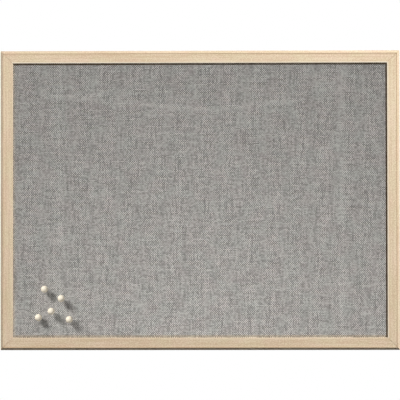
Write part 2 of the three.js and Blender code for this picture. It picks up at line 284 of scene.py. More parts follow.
PLANK_STRIDE = 400
# How strong the painted highlight on each rail's inner arris is: most on the top and right rails
ARRIS_HIGHLIGHT_SHARES = {"top": 0.95, "right": 0.9, "bottom": 0.2, "left": 0.1}
pines = {side: pine(f"pine_sanded_{side}", PLANK_STRIDE * (i + 1), share)
         for i, (side, share) in enumerate(ARRIS_HIGHLIGHT_SHARES.items())}
print("made", len(pines), "cuts of pine")

# %% [markdown]
# ## The rails
# Each rail is one moulding: a bevel up from the outer edge to a narrow crest, a short step down to a flat
# face, an eased inner edge and a rebate behind for the panel. It is swept along its length, and each point of
# the section is cut back by as much as it lies inside the outer edge, which makes the 45 degree mitres. A
# shape that has one section all along is simplest as rows of points, with a fine chamfer at the mitres so
# that the joint shows as a thin line.

# %% The moulding's section, in mm: distance in from the outer edge, and back from the front
WIDTH = RAIL_WIDTH / MM
DEPTH = 20
LIP = 4
REBATE = 8
BEVEL_WIDTH = 5.2
BEVEL_DEPTH = 6
OUTER_EASE = 0.5
BEVEL_EASE = 0.4
CREST_EASE = 0.4
STEP_WIDTH = 1.6
STEP_EASE = 0.3
FACE_DROP = 0.5
INNER_EASE = 0.4
BACK_EASE = 0.6


def arc(centre, radius, start, end, steps):
    """Points on an arc, with angles in degrees."""
    angles = [math.radians(start + (end - start) * i / steps) for i in range(steps + 1)]
    return [(centre[0] + radius * math.cos(a), centre[1] + radius * math.sin(a)) for a in angles]


def curve(start, pull, end, steps):
    """Points on a soft bend from start to end, drawn towards the pull point, without the start itself."""
    shares = [i / steps for i in range(1, steps + 1)]
    return [tuple((1 - t) ** 2 * a + 2 * t * (1 - t) * b + t ** 2 * c for a, b, c in zip(start, pull, end))
            for t in shares]


def moulding():
    """The section's outline, from the outer edge over the face to the rebate and the back."""
    slope = BEVEL_DEPTH / BEVEL_WIDTH
    fall = FACE_DROP / STEP_WIDTH
    crest_end = BEVEL_WIDTH + CREST_EASE
    face_start = crest_end + STEP_WIDTH
    # The outer arris and the crest are sanded soft
    outline = [(0.0, BEVEL_DEPTH + OUTER_EASE)]
    outline += curve(outline[-1], (0.0, BEVEL_DEPTH), (BEVEL_EASE, BEVEL_DEPTH - BEVEL_EASE * slope), 4)
    outline += [(BEVEL_WIDTH * share, BEVEL_DEPTH * (1 - share)) for share in (0.35, 0.6)]
    outline.append((BEVEL_WIDTH - CREST_EASE, CREST_EASE * slope))
    outline += curve(outline[-1], (BEVEL_WIDTH, 0.0), (crest_end, 0.0), 6)
    # The step falls straight, with a soft bend above and below
    outline += curve(outline[-1], (crest_end + 0.1, 0.0), (crest_end + STEP_EASE, STEP_EASE * fall), 3)
    outline += curve((face_start - STEP_EASE, FACE_DROP - STEP_EASE * fall), (face_start, FACE_DROP),
                     (face_start + STEP_EASE, FACE_DROP), 4)
    width_left = WIDTH - INNER_EASE - face_start
    outline += [(face_start + width_left * i / 6, FACE_DROP) for i in range(1, 6)]
    outline += arc((WIDTH - INNER_EASE, FACE_DROP + INNER_EASE), INNER_EASE, -90, 0, 5)
    outline += [(WIDTH, LIP), (WIDTH - REBATE, LIP), (WIDTH - REBATE, DEPTH), (BACK_EASE, DEPTH),
                (0.0, DEPTH - BACK_EASE)]
    return outline


def inset(outline, by):
    """The outline moved inwards by a small distance."""
    moved = []
    for i, point in enumerate(outline):
        before = Vector(outline[i - 1])
        after = Vector(outline[(i + 1) % len(outline)])
        here = Vector(point)
        first = (here - before).normalized()
        second = (after - here).normalized()
        normal = (Vector((-first.y, first.x)) + Vector((-second.y, second.x))).normalized()
        moved.append(tuple(here + normal * by))
    return moved


section = moulding()
print("the moulding's section has", len(section), "points")

# %% A rail swept from the section
MITRE_CLEARANCE = 0.1
MITRE_CHAMFER = 0.5
STATIONS = 40
quarter_turns = {"top": 0, "right": 1, "bottom": 2, "left": 3}


def place_of(side):
    """Where a rail drawn along X, round the middle of the board, lies in the frame."""
    turn = Matrix.Rotation(quarter_turns[side] * math.pi / 2, 4, "Y")
    return Matrix.Translation((MIDDLE.x, 0, MIDDLE.z)) @ turn


def rail(side):
    """One mitred rail, turned round the board's middle into its place."""
    lies_flat = quarter_turns[side] % 2 == 0
    along, reach = (BOARD_WIDTH, BOARD_HEIGHT) if lies_flat else (BOARD_HEIGHT, BOARD_WIDTH)
    half = along / MM / 2 - MITRE_CLEARANCE
    inner = inset(section, MITRE_CHAMFER)
    rows = [(-1, inner, 0)]
    rows += [(-1 + 2 * i / STATIONS, section, MITRE_CHAMFER) for i in range(STATIONS + 1)]
    rows += [(1, inner, 0)]
    points, rings = [], []
    for share, outline, back_off in rows:
        rings.append(range(len(points), len(points) + len(outline)))
        for across, back in outline:
            x = share * (half - across - back_off)
            points.append(place_of(side) @ (Vector((x, back - DEPTH, reach / MM / 2 - across)) * MM))
    faces = joined(rings) + [tuple(rings[0]), tuple(reversed(rings[-1]))]
    return new_piece(f"pine_rail_{side}", points, faces, pines[side])


rails = {side: rail(side) for side in quarter_turns}
print("swept", len(rails), "rails")

# %% [markdown]
# The corners are held by V-nails driven in from behind, and each leaves a V-shaped slot. The slot's cutter is
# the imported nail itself, grown a little and pushed out through the back, so that slot and nail always agree.

# %% The slots of the V-nails
SLOT_CLEARANCE = 0.15 * MM
BACK_ZONE = 0.1 * MM
CUTTER_END = 1 * MM


def slot_cutter(nail):
    """A closed copy of a nail's mesh, grown by the clearance, with its back end pushed out past the wood."""
    work = bmesh.new()
    work.from_mesh(nail.data)
    bmesh.ops.remove_doubles(work, verts=work.verts, dist=SAME_POINT)
    bmesh.ops.recalc_face_normals(work, faces=work.faces)
    work.normal_update()
    back = max(v.co.y for v in work.verts)
    for vertex in work.verts:
        on_back = vertex.co.y > back - BACK_ZONE
        vertex.co += vertex.normal * SLOT_CLEARANCE
        if on_back:
            vertex.co.y = CUTTER_END
    mesh = bpy.data.meshes.new(nail.name + "_cutter")
    work.to_mesh(mesh)
    work.free()
    made = bpy.data.objects.new(mesh.name, mesh)
    bpy.context.scene.collection.objects.link(made)
    return made


def cut_away(piece, cutters):
    """The cutters' space is taken out of the piece, and the result kept as its mesh."""
    for cutter in cutters:
        modifier = piece.modifiers.new("cut", "BOOLEAN")
        modifier.operation = "DIFFERENCE"
        modifier.solver = "EXACT"
        modifier.object = cutter
    bpy.context.view_layer.update()
    evaluated = piece.evaluated_get(bpy.context.evaluated_depsgraph_get())
    result = bpy.data.meshes.new_from_object(evaluated)
    piece.modifiers.clear()
    piece.data = result
    for cutter in cutters:
        bpy.data.objects.remove(cutter)
    shade_by_angle(result)


def mark_places(piece, name, place):
    """Each point of the mesh keeps its place on the raw material, in millimetres, as an attribute."""
    attribute = piece.data.attributes.new(name, "FLOAT_VECTOR", "POINT")
    attribute.data.foreach_set("vector", [c / MM for v in piece.data.vertices for c in place(v.co)])


nails_of = {"top": (1, 4), "right": (1, 2), "bottom": (2, 3), "left": (3, 4)}
for side, made in rails.items():
    cut_away(made, [slot_cutter(nodes[f"v_nail_{i}"]) for i in nails_of[side]])
    back_to_plank = place_of(side).inverted()
    reach = (BOARD_HEIGHT if side in ("top", "bottom") else BOARD_WIDTH) / 2

    def on_plank(point):
        """Along the rail, in from its outer edge, and back from its front."""
        drawn = back_to_plank @ point
        return drawn.x, reach - drawn.z, drawn.y + DEPTH * MM

    mark_places(made, "plank_mm", on_plank)
    settle(made, "board", "pine", f"frame_rail_{side}")

# %% [markdown]
# ## Melange cloth in a plain weave
# The face is a coarse grey polyester that looks like linen. Its yarns are spun from dark, middle and pale
# fibres mixed together, so each yarn changes tone along its length, and warp and weft cross one over one
# under. Real yarns lie about 1 mm apart; they are drawn 2.1 and 2.3 mm apart, the finest that shows at 2 mm
# to a pixel. The cloth is drawn from the flat sheet's own millimetres, so that it turns over the edges too.

# %% The cloth's colours and yarns
CLOTH_DARK = "6e6b68"
CLOTH_GREY = "a4a19d"
CLOTH_PALE = "dddad4"
DYE_TINTS = {"A": (1.015, 0.99, 0.995, 1), "B": (0.985, 1.01, 1.005, 1)}
WARP_PITCH = 2.09
WEFT_PITCH = 2.33
# The yarns wander by a mm or so over 80 mm, and the dye takes warmer and cooler over a few centimetres: how
# often such a cloud repeats in a mm, and its detail
CLOUDS = {"wander": (0.012, 1), "dye": (0.03, 2)}
WANDER = 3
# A yarn's own tone: how far neighbours lie apart in the noise, and how often it changes in a mm
YARN_STRIDE = 7.31
YARN_CHANGE = 0.022
LOWER_SHARE = 0.1
# What makes a crossing paler, from a dark start
TONE_START = -0.585
YARN_CONTRAST = 1.12
FLECK_CONTRAST = 0.44
WARP_PALING = 0.6
CREASE_PALING = 0.14
GAP_LIGHT = 0.62
print("yarns every", WARP_PITCH, "and", WEFT_PITCH, "mm")

# %% Melange cloth
def melange_cloth():
    """Grey melange cloth. Each yarn has its own tone, and each crossing shows the yarn on top."""
    made, tree = new_material("melange_cloth_woven")
    flat = add_node(tree, "Attribute", attribute_name="flat_mm").outputs["Vector"]
    clouds = {}
    for use, (often, detail) in CLOUDS.items():
        spread = add_node(tree, "VectorMath", {0: flat, 1: (often, often, 1)}, operation="MULTIPLY")
        clouds[use] = add_node(tree, "TexNoise", {
            "Vector": spread.outputs[0], "Scale": 1, "Detail": detail}).outputs
    drift = add_node(tree, "VectorMath", {0: clouds["wander"]["Color"], 1: (0.5, 0.5, 0.5)},
                     operation="SUBTRACT").outputs[0]
    wandered = add_node(tree, "VectorMath", {0: drift, 1: (WANDER, WANDER, 0), 2: flat},
                        operation="MULTIPLY_ADD").outputs[0]
    counted = add_node(tree, "VectorMath", {0: wandered, 1: (1 / WARP_PITCH, 1 / WEFT_PITCH, 1)},
                       operation="MULTIPLY").outputs[0]
    yarn = add_node(tree, "VectorMath", {0: counted}, operation="FLOOR").outputs[0]
    number = add_node(tree, "SeparateXYZ", {"Vector": yarn}).outputs
    length = add_node(tree, "SeparateXYZ", {"Vector": flat}).outputs
    both = add_node(tree, "Math", {0: number["X"], 1: number["Y"]}, operation="ADD").outputs[0]
    warp_on_top = add_node(tree, "Math", {0: both, 1: 2.0}, operation="FLOORED_MODULO").outputs[0]
    # Each yarn's tone along its length: slow noise along the yarn, a fresh start for each yarn
    tones = []
    for across, along, start in (("X", "Y", 0.0), ("Y", "X", 50.0)):
        own = add_node(tree, "Math", {0: number[across], 1: YARN_STRIDE, 2: start},
                       operation="MULTIPLY_ADD").outputs[0]
        run = add_node(tree, "Math", {0: length[along], 1: YARN_CHANGE}, operation="MULTIPLY").outputs[0]
        where = add_node(tree, "CombineXYZ", {"X": own, "Y": run}).outputs[0]
        tones.append(add_node(tree, "TexNoise", {
            "Vector": where, "Scale": 1, "Detail": 1, "Roughness": 0.5}).outputs["Fac"])
    # The yarn on top shows most, and the one below it a little, between the fibres
    warp_share = add_node(tree, "Math", {0: warp_on_top, 1: 1 - 2 * LOWER_SHARE, 2: LOWER_SHARE},
                          operation="MULTIPLY_ADD").outputs[0]
    yarn_tone = add_node(tree, "Mix", {"Factor": warp_share, "A": tones[1], "B": tones[0]})
    # Single fibres make flecks, one random value for each crossing, and the cloth is paler along the folds
    fleck = add_node(tree, "TexWhiteNoise", {"Vector": yarn}, noise_dimensions="3D").outputs["Value"]
    fold = add_node(tree, "Attribute", attribute_name="creased").outputs["Fac"]
    tone = TONE_START
    for part, weight in ((yarn_tone.outputs["Result"], YARN_CONTRAST), (fleck, FLECK_CONTRAST),
                         (warp_on_top, WARP_PALING), (fold, CREASE_PALING)):
        tone = add_node(tree, "Math", {0: part, 1: weight, 2: tone}, operation="MULTIPLY_ADD").outputs[0]
    fibres = add_node(tree, "ValToRGB", {"Fac": tone})
    ramp = fibres.color_ramp
    ramp.elements[0].position, ramp.elements[0].color = 0.0, linear(CLOTH_DARK)
    ramp.elements[1].position, ramp.elements[1].color = 1.0, linear(CLOTH_PALE)
    ramp.elements.new(0.5).color = linear(CLOTH_GREY)
    warm = add_node(tree, "MapRange", {
        "Value": clouds["dye"]["Fac"], "From Min": 0.35, "From Max": 0.65}).outputs["Result"]
    dye = add_node(tree, "Mix", {"Factor": warm, **DYE_TINTS}, data_type="RGBA")
    # Each crossing is a small hump, and light hardly reaches the gaps between the yarns
    within = add_node(tree, "VectorMath", {0: counted}, operation="FRACTION").outputs[0]
    wave = add_node(tree, "VectorMath", {0: within, 1: (math.pi, math.pi, 0)},
                    operation="MULTIPLY").outputs[0]
    hump = add_node(tree, "VectorMath", {0: wave}, operation="SINE").outputs[0]
    humps = add_node(tree, "SeparateXYZ", {"Vector": hump}).outputs
    height = add_node(tree, "Math", {0: humps["X"], 1: humps["Y"]}, operation="MULTIPLY").outputs[0]
    gaps = add_node(tree, "MapRange", {"Value": height, "From Max": 0.4, "To Min": GAP_LIGHT},
                    interpolation_type="SMOOTHSTEP")
    colour = fibres.outputs["Color"]
    for dimmed_by in (dye, gaps):
        colour = add_node(tree, "Mix", {
            "Factor": 1.0, "A": colour, "B": dimmed_by.outputs["Result"]},
            data_type="RGBA", blend_type="MULTIPLY").outputs["Result"]
    bump = add_node(tree, "Bump", {"Height": height, "Strength": 0.3, "Distance": 0.25 * MM})
    shader = add_node(tree, "BsdfPrincipled", {
        "Base Color": colour, "Roughness": 0.95, "Specular IOR Level": 0.15,
        "Sheen Weight": 0.08, "Sheen Roughness": 0.5, "Normal": bump.outputs["Normal"]})
    add_node(tree, "OutputMaterial", {"Surface": shader.outputs[0]})
    return made


cloth = melange_cloth()
print("made", cloth.name)

# %% [markdown]
# ## The cloth cover
# The real cover is one sheet, 848 by 648 mm, stretched over the pin core, turned over its edges and glued
# down behind it. It is made as a grid for the face, which carries faint creases from the fold in the packet,
# and rings of points round that grid for the turned edge and the flap, mitred at the corners. Then it is
# given the thickness of the cloth, inwards, and pierced where the pins go in.

# %% The cover's sizes and creases, which are placed from the middle of the board
cover_low, cover_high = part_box("fabric_cover")
COVER_FRONT = cover_low.y
COVER_BACK = cover_high.y
HALF_WIDE = (cover_high.x - cover_low.x) / 2
HALF_TALL = (cover_high.z - cover_low.z) / 2
TURNOVER = 30 * MM
CLOTH_THICKNESS = 0.55 * MM
GRID = 4 * MM
# One fold runs across and dips where it passes the middle, two stand upright, and a corner has a patch that
# stands up and is paler like them
DIP_X, DIP_Z = 5 * MM, 181.5 * MM
DIP_SLOPE, DIP_ROUND = 0.113, 40 * MM
ACROSS_FROM, ACROSS_TO = -0.34, 0.21
ACROSS_SPREAD = 4.5 * MM
UPRIGHT_X = -0.282, 0.284
UPRIGHT_SPREAD, UPRIGHT_SHARE = 8 * MM, 0.65
PATCH_X, PATCH_Z, PATCH_SQUASH = 0.26, 0.226, 1.6
PATCH_SPREAD, PATCH_SHARE = 22 * MM, 0.6
# The cloth's relief on a fold and where it ripples. It fades out before the rails
RELIEF = 0.10 * MM
RIPPLES_PER_METRE = 9
STILL_X, STILL_Z, STILL_FADE = 371 * MM, 271 * MM, 12 * MM


def crease(distance, spread):
    """1 on a fold's line, fading out on both sides of it."""
    return math.exp(-(distance / spread) ** 2)


def creased(x, z):
    """How strongly the packet's folds mark the cloth."""
    dip = DIP_Z + DIP_SLOPE * (math.hypot(x - DIP_X, DIP_ROUND) - DIP_ROUND)
    across = crease(z - dip, ACROSS_SPREAD) if ACROSS_FROM < x < ACROSS_TO else 0
    upright = sum(crease(x - place, UPRIGHT_SPREAD) for place in UPRIGHT_X)
    patch = crease(math.hypot(x - PATCH_X, PATCH_SQUASH * (z - PATCH_Z)), PATCH_SPREAD)
    return across + UPRIGHT_SHARE * upright + PATCH_SHARE * patch


def relief(x, z):
    """How far the cloth stands proud of the core, in metres."""
    ripple = noise.noise(Vector((x * RIPPLES_PER_METRE, 0.7, z * RIPPLES_PER_METRE))) + 1
    edge = min((STILL_X - abs(x)) / STILL_FADE, (STILL_Z - abs(z)) / STILL_FADE, 1)
    return RELIEF * (creased(x, z) + ripple) * max(edge, 0)


print("relief at the middle:", round(relief(0, 0) / MM, 3), "mm")

# %% The cover as a grid with turned edges
EDGE_BEND = 0.7 * MM
EDGE_SHARP_ANGLE = 50


def cover():
    """The sheet in its place: the face, then the turned edge and the flap round it."""
    columns = round(2 * HALF_WIDE / GRID)
    rows = round(2 * HALF_TALL / GRID)
    points, faces = [], []

    def add(x, y, z):
        points.append((MIDDLE.x + x, y, MIDDLE.z + z))
        return len(points) - 1

    face_x = HALF_WIDE - EDGE_BEND
    face_z = HALF_TALL - EDGE_BEND
    grid = []
    for j in range(rows + 1):
        z = -face_z + 2 * face_z * j / rows
        xs = [-face_x + 2 * face_x * i / columns for i in range(columns + 1)]
        grid.append([add(x, COVER_FRONT - relief(x, z), z) for x in xs])
    for j in range(rows):
        for i in range(columns):
            faces.append((grid[j][i], grid[j][i + 1], grid[j + 1][i + 1], grid[j + 1][i]))

    edge = [grid[0][i] for i in range(columns)] + [grid[j][columns] for j in range(rows)]
    edge += [grid[rows][i] for i in range(columns, 0, -1)] + [grid[j][0] for j in range(rows, 0, -1)]
    places = [(points[k][0] - MIDDLE.x, points[k][2] - MIDDLE.z) for k in edge]
    # Each ring: how far out of the face's rectangle it lies, and its depth
    bend, depth = EDGE_BEND, COVER_BACK - COVER_FRONT
    steps = [(0.3 * bend, 0.05 * bend), (0.75 * bend, 0.3 * bend), (bend, bend), (bend, depth - bend),
             (0.7 * bend, depth - 0.2 * bend), (-0.3 * bend, depth), (bend - TURNOVER, depth)]
    rings = [edge]
    for out, back in steps:
        rings.append([add(x * (face_x + out) / face_x, COVER_FRONT + back, z * (face_z + out) / face_z)
                      for x, z in places])
    return points, faces + joined(rings)


cover_points, cover_faces = cover()
cover_piece = new_piece("melange_cloth_cover", cover_points, cover_faces, cloth, EDGE_SHARP_ANGLE)
print("the cover's grid has", len(cover_points), "points")

# %% The cloth's thickness and the pins' holes
pin_numbers = range(1, 6)
NEEDLE_HOLE = 1.4 * MM
PEG_REACH = 2 * MM


def pin_place(number):
    """The middle of a pin's ball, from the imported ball."""
    low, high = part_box(f"pin_{number}_head")
    return (low + high) / 2


def turned(name, profile, axis_place, sides, material):
    """A body of revolution about Y, from points of radius and depth; radius 0 closes an end."""
    points, rings = [], []
    for radius, y in profile:
        count = sides if radius else 1
        rings.append([len(points) + i % count for i in range(sides)])
        for i in range(count):
            angle = 2 * math.pi * i / sides
            points.append((axis_place.x + radius * math.cos(angle), y,
                           axis_place.z + radius * math.sin(angle)))
    return new_piece(name, points, joined(rings), material)


thickness = cover_piece.modifiers.new("thickness", "SOLIDIFY")
thickness.thickness = CLOTH_THICKNESS
thickness.offset = -1
thickness.use_even_offset = True
peg = [(radius, COVER_FRONT + y) for radius, y in (
    (0, -PEG_REACH), (NEEDLE_HOLE / 2, -PEG_REACH), (NEEDLE_HOLE / 2, PEG_REACH), (0, PEG_REACH))]
cut_away(cover_piece, [turned("hole_cutter", peg, pin_place(n), 16, cloth) for n in pin_numbers])
print("pierced", len(pin_numbers), "holes of", round(NEEDLE_HOLE / MM, 1), "mm")

# %% The cover's places on the flat sheet
EDGE_ZONE = 1 * MM


def on_sheet(point):
    """Where a point lies on the flat sheet: past the edge, depth and then flap add to the way."""
    behind = max(point.y - COVER_FRONT, 0)
    on_flap = behind > COVER_BACK - COVER_FRONT - EDGE_ZONE
    way = []
    for value, half in ((point.x - MIDDLE.x, HALF_WIDE), (point.z - MIDDLE.z, HALF_TALL)):
        if on_flap and half - abs(value) <= TURNOVER + EDGE_ZONE:
            way.append(math.copysign(2 * half - abs(value) + behind, value))
        elif half - abs(value) < EDGE_ZONE:
            way.append(math.copysign(abs(value) + behind, value))
        else:
            way.append(value)
    return way[0], way[1], 0


mark_places(cover_piece, "flat_mm", on_sheet)
creases = cover_piece.data.attributes.new("creased", "FLOAT", "POINT")
creases.data.foreach_set("value", [creased(v.co.x - MIDDLE.x, v.co.z - MIDDLE.z)
                                   for v in cover_piece.data.vertices])
settle(cover_piece, "board", "linen_look_cloth", "fabric_cover")

# %% [markdown]
# ## Softboard core and hardboard back
# The core is pressed wood fibre, soft enough for a needle. The back is thin hardboard: brown fibres pressed
# flat and hard, with a dull sheen and faint specks. Both are plain slabs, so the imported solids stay, and get
# a fine bevel and a finish.

# %% Pressed boards
def pressed_board(name, dark, middle, pale, fleck_mm, roughness):
    """Fibre board: specks of fibre over a mottled ground."""
    made, tree = new_material(name)
    place = add_node(tree, "TexCoord").outputs["Object"]
    specks = add_node(tree, "TexNoise", {
        "Vector": place, "Scale": 1 / (fleck_mm * MM), "Detail": 4, "Roughness": 0.75}).outputs["Fac"]
    ground = add_node(tree, "TexNoise", {"Vector": place, "Scale": 20, "Detail": 2}).outputs["Fac"]
    tone = add_node(tree, "Math", {0: ground, 1: 0.35, 2: -0.17}, operation="MULTIPLY_ADD").outputs[0]
    tone = add_node(tree, "Math", {0: tone, 1: specks}, operation="ADD").outputs[0]
    colour = add_node(tree, "ValToRGB", {"Fac": tone})
    ramp = colour.color_ramp
    ramp.elements[0].position, ramp.elements[0].color = 0.25, linear(dark)
    ramp.elements[1].position, ramp.elements[1].color = 0.75, linear(pale)
    ramp.elements.new(0.5).color = linear(middle)
    bump = add_node(tree, "Bump", {"Height": specks, "Strength": 0.3, "Distance": 0.2 * MM})
    shader = add_node(tree, "BsdfPrincipled", {
        "Base Color": colour.outputs["Color"], "Roughness": roughness, "Specular IOR Level": 0.3,
        "Normal": bump.outputs["Normal"]})
    add_node(tree, "OutputMaterial", {"Surface": shader.outputs[0]})
    return made


def dress_node(name, material, bevel):
    """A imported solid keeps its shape, and gets a finish and slightly broken edges."""
    node = nodes[name]
    node.data.materials.clear()
    node.data.materials.append(material)
    weld = node.modifiers.new("joined", "WELD")
    weld.merge_threshold = SAME_POINT
    broken = node.modifiers.new("broken_edges", "BEVEL")
    broken.width = bevel
    broken.segments = 2
    broken.limit_method = "ANGLE"
    broken.angle_limit = math.radians(40)


softboard = pressed_board("softboard_pressed", "8f7650", "b89c74", "d3bd98", fleck_mm=2.5, roughness=0.95)
hardboard = pressed_board("hardboard_pressed", "5e4028", "7d5a3c", "947152", fleck_mm=3.0, roughness=0.6)
dress_node("softboard_core", softboard, bevel=0.2 * MM)
dress_node("backing_board", hardboard, bevel=0.25 * MM)
print("dressed the core and the back")

# %% [markdown]
# ## Zinc-plated steel
# Plates, rings, screws, nails and retaining points are mild steel with a thin bright zinc coat: a bluish grey
# metal with soft reflections and faint cloudiness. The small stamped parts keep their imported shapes.

# %% Zinc-plated steel
def plated_steel(name, pale, dull, roughness, cloud_mm):
    """Metal with cloudy plating: the roughness varies a little over a few millimetres."""
    made, tree = new_material(name)
    place = add_node(tree, "TexCoord").outputs["Object"]
    clouds = add_node(tree, "TexNoise", {
        "Vector": place, "Scale": 1 / (cloud_mm * MM), "Detail": 3}).outputs["Fac"]
    colour = add_node(tree, "Mix", {"Factor": clouds, "A": linear(pale), "B": linear(dull)},
                      data_type="RGBA")
    rough = add_node(tree, "MapRange", {
        "Value": clouds, "From Min": 0.3, "From Max": 0.7,
        "To Min": roughness - 0.06, "To Max": roughness + 0.08})
    shader = add_node(tree, "BsdfPrincipled", {
        "Base Color": colour.outputs["Result"], "Metallic": 1.0, "Roughness": rough.outputs["Result"]})
    add_node(tree, "OutputMaterial", {"Surface": shader.outputs[0]})
    return made


zinc = plated_steel("steel_zinc_plated", "cfd3d8", "aeb3b9", roughness=0.34, cloud_mm=3)
needle_steel = plated_steel("steel_drawn_bright", "d8dadc", "c2c5c8", roughness=0.2, cloud_mm=1.5)
stamped = [name for name in nodes if name.startswith(("v_nail", "point"))]
for name in stamped:
    dress_node(name, zinc, bevel=0.08 * MM)
print("dressed", len(stamped), "nails and points")

# %% [markdown]
# ## The hangers
# A D-ring hanger is a strip of steel rolled into an eye at its lower end, with a ring of wire through the eye
# and a pan-head screw above it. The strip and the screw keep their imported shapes. The ring is new: a wire
# bent round a flat path, whose ends meet inside the eye, so a round section is swept along that path.

# %% The ring's sizes
WIRE = 2.2 * MM
RING_HEIGHT = 12.8 * MM
RING_CORNER = 2.2 * MM
RING_SIDE_GAP = 1.4 * MM
RING_BUTT_GAP = 0.15 * MM
# The rounded ends: how far they stand out, and how wide they still are there, as shares of the wire's radius
END_REACH = 0.25
END_WIDTH = 0.75
WIRE_SHARP_ANGLE = 50
hinges = {joint["name"]: Vector(joint["pos_m"]) for joint in frame["joints"] if joint["type"] == "hinge"}
print("the rings turn at", {name: tuple(round(c, 4) for c in at) for name, at in hinges.items()})

# %% A bent wire
def bent_wire(name, path, diameter, sides, material):
    """A wire of round section along a path, with rounded ends."""
    radius = diameter / 2
    first = (path[0] - path[1]).normalized()
    last = (path[-1] - path[-2]).normalized()
    centres = [path[0] + first * END_REACH * radius, *path, path[-1] + last * END_REACH * radius]
    widths = [END_WIDTH, *[1] * len(path), END_WIDTH]
    out = Vector((0, 1, 0))
    points, rings = [], []
    for k, (centre, width) in enumerate(zip(centres, widths)):
        along = centres[min(k + 1, len(centres) - 1)] - centres[max(k - 1, 0)]
        side = along.cross(out).normalized()
        rings.append(range(len(points), len(points) + sides))
        for i in range(sides):
            angle = 2 * math.pi * i / sides
            points.append(centre + (out * math.cos(angle) + side * math.sin(angle)) * radius * width)
    faces = joined(rings) + [tuple(rings[0]), tuple(reversed(rings[-1]))]
    return new_piece(name, points, faces, material, WIRE_SHARP_ANGLE)


def ring_path(eye, plate_width):
    """The D-ring's middle line, from inside the eye round and back, hanging down from the eye."""
    half = plate_width / 2 + RING_SIDE_GAP + WIRE / 2
    butt = RING_BUTT_GAP + END_REACH * WIRE / 2
    flat = [(butt, 0.0), (0.5 * half, 0.0)]
    flat += arc((half - RING_CORNER, -RING_CORNER), RING_CORNER, 90, 0, 8)
    flat += arc((0, half - RING_HEIGHT), half, 0, -180, 28)
    flat += arc((RING_CORNER - half, -RING_CORNER), RING_CORNER, 180, 90, 8)
    flat += [(-0.5 * half, 0.0), (-butt, 0.0)]
    return [eye + Vector((x, 0, z)) for x, z in flat]


for side in ("left", "right"):
    plate_low, plate_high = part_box(f"hanger_plate_{side}")
    path = ring_path(hinges[f"ring_{side}_turn"], plate_high.x - plate_low.x)
    ring = bent_wire(f"hanging_ring_{side}", path, WIRE, 16, zinc)
    settle(ring, f"ring_{side}", "zinc_steel", f"hanger_ring_{side}")
    dress_node(f"hanger_plate_{side}", zinc, bevel=0.12 * MM)
    dress_node(f"hanger_screw_{side}", zinc, bevel=0.05 * MM)

# %% [markdown]
# ## The pins
# A pin is a ball of pale beech, turned and lightly varnished, on a thin steel needle that is glued into a
# bore. The ball is a turned profile: round, with the small flat that the lathe leaves where the needle goes
# in. Each ball's grain lies as it happened to be turned, so each has a start and a tilt of its own.

# %% Turned beech
BEECH_LIGHT = "f7eedc"
BEECH_DARK = "eaddc4"
FLECKS_PER_METRE = 900, 160, 900


def turned_beech(name, start, tilt):
    """Pale beech, varnished: fine straight grain with short darker flecks."""
    made, tree = new_material(name)
    place = add_node(tree, "TexCoord").outputs["Object"]
    turned_place = add_node(tree, "Mapping", {
        "Vector": place, "Location": (start, 0, start), "Rotation": (tilt, 0.4, 2 * tilt),
        "Scale": FLECKS_PER_METRE}).outputs[0]
    grain = add_node(tree, "TexNoise", {
        "Vector": turned_place, "Scale": 1, "Detail": 3, "Roughness": 0.6}).outputs["Fac"]
    tone = add_node(tree, "MapRange", {
        "Value": grain, "From Min": 0.35, "From Max": 0.7}).outputs["Result"]
    wood = add_node(tree, "Mix", {
        "Factor": tone, "A": linear(BEECH_LIGHT), "B": linear(BEECH_DARK)}, data_type="RGBA")
    shader = add_node(tree, "BsdfPrincipled", {
        "Base Color": wood.outputs["Result"], "Roughness": 0.6, "IOR": 1.5, "Specular IOR Level": 0.3,
        "Coat Weight": 0.05, "Coat Roughness": 0.4})
    add_node(tree, "OutputMaterial", {"Surface": shader.outputs[0]})
    return made


beeches = {n: turned_beech(f"beech_turned_{n}", start=0.37 * n, tilt=0.6 * n) for n in pin_numbers}
print("made", len(beeches), "cuts of beech")

# %% Balls and needles
BALL = 14 * MM
BALL_FLAT = 3.8 * MM
BALL_ROWS = 36
BORE = 1.7 * MM
BORE_DEPTH = 8 * MM
BORE_EASE = 0.2 * MM
NEEDLE = 1.1 * MM
NEEDLE_TAPER = 2.6 * MM
NEEDLE_WAIST = 0.32 * NEEDLE
NEEDLE_EASE = 0.1 * MM


def ball_profile(centre_y):
    """From the bottom of the bore, out over the flat at its mouth and round the ball to the front."""
    radius = BALL / 2
    mouth = math.sqrt(radius ** 2 - (BALL_FLAT / 2) ** 2)
    start = math.atan2(mouth, BALL_FLAT / 2)
    bottom = centre_y + radius - BORE_DEPTH
    profile = [(0, bottom), (BORE / 2, bottom), (BORE / 2, centre_y + mouth - BORE_EASE),
               (BORE / 2 + BORE_EASE, centre_y + mouth)]
    for i in range(BALL_ROWS):
        angle = start - i * (start + math.pi / 2) / BALL_ROWS
        profile.append((radius * math.cos(angle), centre_y + radius * math.sin(angle)))
    return [*profile, (0, centre_y - radius)]


def needle_profile(head_y, point_y):
    """From the blunt end in the ball's bore to the ground point."""
    return [(0, head_y), (NEEDLE / 2 - NEEDLE_EASE, head_y), (NEEDLE / 2, head_y + NEEDLE_EASE),
            (NEEDLE / 2, point_y - NEEDLE_TAPER), (NEEDLE_WAIST, point_y - NEEDLE_TAPER / 2), (0, point_y)]


pin_pieces = []
for number in pin_numbers:
    place = pin_place(number)
    ball = turned(f"beech_ball_{number}", ball_profile(place.y), place, 64, beeches[number])
    settle(ball, f"pin_{number}", "beech", f"pin_{number}_head")
    low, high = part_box(f"pin_{number}_needle")
    needle = turned(f"steel_needle_{number}", needle_profile(low.y, high.y), place, 24, needle_steel)
    settle(needle, f"pin_{number}", "needle_steel", f"pin_{number}_needle")
    pin_pieces += [ball, needle]

# %% [markdown]
# ## Floor
# The board hangs, so the floor lies some way below it and catches its shadow. It is plain and pale near the
# board, and goes over into clean white further out, for the camera and for reflections only, so that it adds
# no light to the object.

